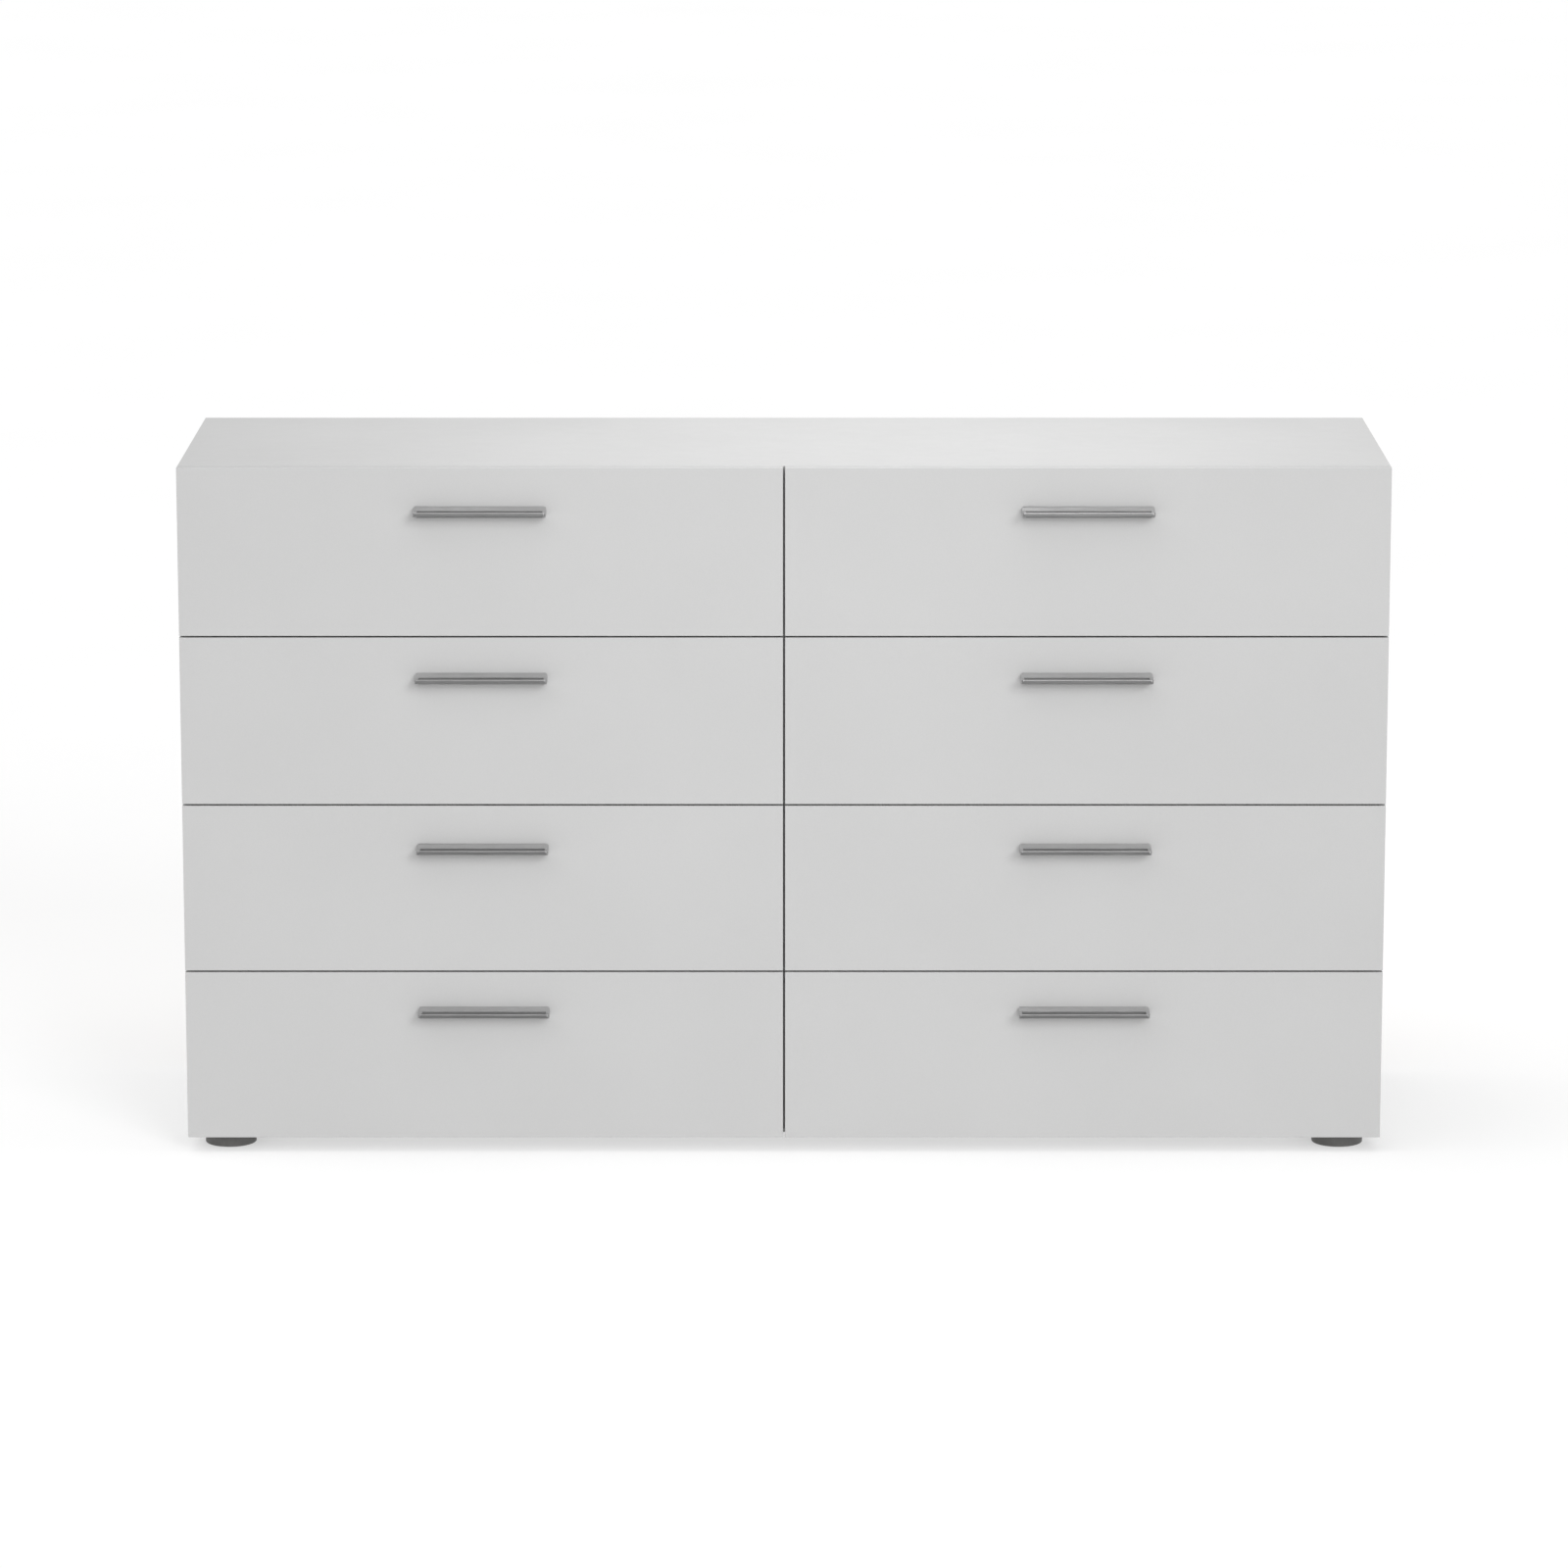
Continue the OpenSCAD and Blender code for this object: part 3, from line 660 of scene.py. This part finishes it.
# ---------- fasteners ----------
def screw_mesh(head_radius, head_height, shank_radius, length, round_head=False):
    """Cross-recessed screw down from z = 0, with thread rings and a point."""
    core = shank_radius * 0.72
    pitch = 1.5 * MM
    body = [(head_radius, -0.15 * MM)]
    if round_head:
        body = [(head_radius, -0.5 * MM), (head_radius, -head_height), (shank_radius, -head_height)]
    body.append((core, -head_height - 0.3 * MM))
    z = head_height + 0.8 * MM
    while z < length - 2.5 * MM:
        body += [(core, -z), (shank_radius, -z - 0.35 * pitch), (core, -z - 0.6 * pitch)]
        z += pitch
    body += [(core, -length + 1.8 * MM), (0, -length)]
    rim = head_radius - (0.5 * MM if round_head else 0.1 * MM)
    return cross_headed(rim, body, head_radius * 0.56, head_radius * 0.26, min(1.2 * MM, length / 4), 24)


def cam_mesh(radius, depth):
    """Cam lock down from z = 0: bevelled face with a cross recess, and a waist under its rim."""
    rim = radius - 0.1 * MM
    waist = radius - 0.9 * MM
    body = [(rim, -0.3 * MM), (rim, -1.6 * MM), (waist, -1.9 * MM)]
    body += [(waist, -depth + 1.6 * MM), (rim, -depth + 1.3 * MM), (rim, -depth), (0, -depth)]
    return cross_headed(radius - 0.5 * MM, body, radius * 0.5, radius * 0.2, 1.8 * MM)


def bolt_mesh(radius, length):
    """Cam bolt down from z = 0: ball head, neck, collar and thread."""
    neck = radius * 0.55
    core = radius * 0.72
    body = [(0, 0), (radius * 0.8, -0.3 * MM), (radius, -1.2 * MM), (radius * 0.8, -2.4 * MM)]
    body += [(neck, -3 * MM), (neck, -5.5 * MM), (radius, -6.2 * MM), (radius, -length + 10.5 * MM)]
    z = length - 10 * MM
    while z < length - 1.5 * MM:
        body += [(core, -z), (radius, -z - 0.5 * MM), (core, -z - 0.9 * MM)]
        z += 1.3 * MM
    return lathe(body + [(radius * 0.6, -length), (0, -length)], 20)


def nail_mesh(head_radius, head_height, length):
    """Nail down from z = 0, its head slightly domed."""
    shank = 0.8 * MM
    dome = [(0, 0), (head_radius * 0.6, -0.08 * MM), (head_radius - 0.15 * MM, -0.25 * MM)]
    dome += [(head_radius, -0.4 * MM), (head_radius, -head_height), (shank, -head_height)]
    return lathe(dome + [(shank, -length + 2 * MM), (0, -length)], 20)


def dowel_mesh(radius, length):
    """Fluted dowel down from z = 0, with chamfered ends."""
    flutes, flute_depth = 20, 0.22 * MM

    def fluted(angle, r):
        return r - flute_depth * (0.5 - 0.5 * math.cos(flutes * angle))

    chamfer = 1.2 * MM
    body = [(0, 0), (radius - chamfer, 0), (radius, -chamfer), (radius, -length + chamfer)]
    return lathe(body + [(radius - chamfer, -length), (0, -length)], 80, fluted)


def boards_round(solid, boards):
    """The boards that the solid's middle lies in, as their low and high corners."""
    def holds(low, high):
        return all(low[i] - MM < solid.middle[i] < high[i] + MM for i in range(3))

    return [(low, high) for low, high in boards if holds(low, high)]


def open_end(solid, boards):
    """The end of a cam lock that is flush with the face of the board it sits in."""
    axis = solid.axis()
    for low, high in boards_round(solid, boards):
        if abs(solid.low[axis] - low[axis]) < FLUSH:
            return -1
        if abs(solid.high[axis] - high[axis]) < FLUSH:
            return 1
    raise ValueError("a cam lock is flush with no board")


def cam_end(solid, boards):
    """The end of a bolt that its cam lock grips: the one deeper in the board it runs along."""
    around = boards_round(solid, boards)
    if not around:
        return 1
    axis = solid.axis()
    low, high = around[0]
    return 1 if high[axis] - solid.high[axis] > solid.low[axis] - low[axis] else -1


def fastener(solid, boards):
    """(mesh, matrix) for one plain fastener, by its size, or None for a rail or a roller."""
    axis = solid.axis()
    length = solid.size[axis]
    radius = solid.size[(axis + 1) % 3] / 2
    if solid.size.y > RAIL_LENGTH or (axis == X and radius > ROLLER_RADIUS):
        return None
    if radius > CAM_RADIUS:
        return cam_mesh(radius, length), solid.place(open_end(solid, boards))
    if radius > ROUND_SCREW_RADIUS:
        head_height = 2.4 * MM
        shank_radius = 2 * MM
        screw = screw_mesh(radius, head_height, shank_radius, length, round_head=True)
        return screw, solid.place(solid.head())
    if radius > FLAT_SCREW_RADIUS:
        head_height = 2 * MM if length > 20 * MM else 1.2 * MM
        shank_radius = 1.75 * MM
        return screw_mesh(radius, head_height, shank_radius, length), solid.place(solid.head())
    if radius > BOLT_RADIUS:
        return bolt_mesh(radius, length), solid.place(cam_end(solid, boards))
    head_height = 0.7 * MM
    return nail_mesh(radius, head_height, length), solid.place(solid.head())


def make_fasteners(name, node, board_nodes):
    """One piece of all the fasteners in a node, which sit in the boards of other nodes."""
    boards = [(s.low, s.high) for board_node in board_nodes for s in solids(board_node)]
    parts = [fastener(solid, boards) for solid in solids(node)]
    make_piece(name, gather([part for part in parts if part]), node, [ZINC])


def make_cabinet_fittings():
    """The cabinet's cam locks, screws and nails, dowels, rails and rollers."""
    boards = ["left_side_panel", "right_side_panel", "centre_divider", "bottom_panel"]
    make_fasteners("cam_locks", "cam_fittings", boards)
    make_fasteners("cabinet_screw_set", "cabinet_screws", boards)
    pegs = []
    for peg in solids("dowels"):
        axis = peg.axis()
        pegs.append((dowel_mesh(peg.size[(axis + 1) % 3] / 2, peg.size[axis]), peg.place(1)))
    make_piece("fluted_dowels", gather(pegs), "dowels", [BEECH])
    middles = [bay_middle(column) for column in COLUMNS]

    def towards_bay(wheel):
        nearest = min(middles, key=lambda x: abs(x - wheel.middle.x))
        return 1 if nearest > wheel.middle.x else -1

    make_runners("cabinet", "cabinet_runners", towards_bay)


# ---------- drawers ----------
def make_handle(name, node):
    """Cast bar handle with every outward edge rounded."""
    mesh = copy_of(node)
    soften(mesh, HANDLE_EDGE, shortest=0.1 * MM)
    make_piece(name, mesh, node, [NICKEL], smooth=HANDLE_SMOOTH)


def make_drawer(column, row):
    """One drawer: its front, box, handle, runners and fasteners. Rows count from the top."""
    place = f"{column}_{row}"
    node = f"drawer_{place}"
    board(f"front_board_{place}", node + "_front", SHOWN_BOARD_EDGE, Y, [FOIL, EDGING])
    board(f"box_sides_{place}", node + "_sides", BOARD_EDGE, X, [DRAWER, DRAWER])
    board(f"box_back_{place}", node + "_back", BOARD_EDGE, Y, [DRAWER, DRAWER])
    hardboard(f"box_bottom_{place}", node + "_bottom", Z, 1)
    make_handle(f"bar_handle_{place}", node + "_handle")
    middle = bay_middle(column)
    make_runners(f"box_{place}", node + "_runners", lambda wheel: 1 if wheel.middle.x > middle else -1)
    make_fasteners(f"box_fasteners_{place}", node + "_runners", [node + "_sides"])


# ---------- floor and lights ----------
def lay_flat(name, mesh, material):
    """A flat object of the stage."""
    data = bpy.data.meshes.new(name)
    mesh.to_mesh(data)
    mesh.free()
    data.materials.append(material)
    laid = add_object(name, data)
    return laid


def make_floor():
    """A very wide matt disc, with a glow of its own."""
    mesh = bmesh.new()
    bmesh.ops.create_circle(mesh, cap_ends=True, radius=FLOOR_RADIUS, segments=96)
    made = Nodes("floor", 0.6)
    made.colour(made.ramp(made.noise(1.5, 3), grey(0.525), grey(0.535)))
    made.roughness(made.spread(made.noise(12, 3), 0.55, 0.7))
    made.shader.inputs["Specular IOR Level"].default_value = 0.0
    made.shader.inputs["Emission Color"].default_value = WHITE
    made.shader.inputs["Emission Strength"].default_value = FLOOR_GLOW
    lay_flat("floor", mesh, made.material)


def make_dark_card():
    """A grey card in front of the dresser that only reflections see, so that metal has a dark side."""
    mesh = bmesh.new()
    bmesh.ops.create_grid(mesh, x_segments=1, y_segments=1, size=1)
    place = Matrix.Translation((0, CAD_BOX[0].y - CARD_DISTANCE, CARD_HEIGHT))
    mesh.transform(place @ Matrix.Diagonal((CARD_HALF_WIDTH, CARD_HALF_DEPTH, 1, 1)))
    made = Nodes("dark_card", 0.9)
    made.colour(made.ramp(made.noise(2), grey(0.16), grey(0.2)))
    card = lay_flat("dark_card", mesh, made.material)
    card.visible_camera = card.visible_diffuse = card.visible_shadow = card.visible_transmission = False


def make_world():
    """Even pale surroundings. The camera sees them white; they light the dresser less than that."""
    world = bpy.data.worlds.new("studio")
    world.use_nodes = True
    bpy.context.scene.world = world
    tree = world.node_tree
    lit = tree.nodes["Background"]
    lit.inputs["Color"].default_value = WHITE
    lit.inputs["Strength"].default_value = AMBIENT
    seen = tree.nodes.new("ShaderNodeBackground")
    seen.inputs["Color"].default_value = WHITE
    seen.inputs["Strength"].default_value = 1
    path = tree.nodes.new("ShaderNodeLightPath")
    mix = tree.nodes.new("ShaderNodeMixShader")
    tree.links.new(path.outputs["Is Camera Ray"], mix.inputs["Fac"])
    tree.links.new(lit.outputs["Background"], mix.inputs[1])
    tree.links.new(seen.outputs["Background"], mix.inputs[2])
    tree.links.new(mix.outputs["Shader"], tree.nodes["World Output"].inputs["Surface"])


def aim(light, towards):
    """Points a light against `towards`, the direction from its target to it."""
    light.rotation_euler = (-Vector(towards)).to_track_quat("-Z", "Y").to_euler()


def broad_light(name, towards, spread, strength):
    """Light as from a very large, far softbox, the same over the whole floor."""
    data = bpy.data.lights.new(name, "SUN")
    data.angle = math.radians(spread)
    data.energy = strength
    aim(add_object(name, data), towards)


def soft_box(name, place, target, size, power, spread=180):
    """A round softbox near the dresser, unseen by the camera itself. A grid may narrow its spread."""
    data = bpy.data.lights.new(name, "AREA")
    data.shape = "DISK"
    data.size = size
    data.energy = power
    data.spread = math.radians(spread)
    light = add_object(name, data)
    light.location = place
    light.visible_camera = False
    aim(light, Vector(place) - Vector(target))


def make_lights():
    """A key from the front right, a broad light from above, and softboxes before and over the top."""
    low, high = CAD_BOX
    broad_light("key", KEY_DIRECTION, KEY_SPREAD, KEY_STRENGTH)
    broad_light("overhead", OVERHEAD_DIRECTION, OVERHEAD_SPREAD, OVERHEAD_STRENGTH)
    before_top = (0.3, low.y - 2.4, high.z + 0.8)
    front_edge = (0.1, low.y, high.z + 0.1)
    soft_box("front_light", before_top, front_edge, FRONT_LIGHT_SIZE, FRONT_LIGHT_POWER, FRONT_LIGHT_SPREAD)
    over_top = (TOP_LIGHT_X, 0.0, high.z + 0.9)
    top_face = (TOP_LIGHT_X, 0.0, high.z)
    soft_box("top_light", over_top, top_face, TOP_LIGHT_SIZE, TOP_LIGHT_POWER)


make_camera()
make_world()
FOIL = foil_material("melamine_foil", LAMINATE, 1500)
DRAWER = foil_material("drawer_foil", DRAWER_FOIL, 1100)
EDGING = edging_material()
PAINTED = painted_hardboard_material()
FIBRE = fibre_material()
NICKEL = handle_material()
EPOXY = runner_material()
NYLON = nylon_material()
ZINC = zinc_material()
BEECH = beech_material()
FOOT = foot_material()
make_cabinet_boards()
make_feet()
make_cabinet_fittings()
for column in COLUMNS:
    for row in ROWS:
        make_drawer(column, row)
make_floor()
make_dark_card()
make_lights()
bpy.context.scene.view_settings.view_transform = "Standard"
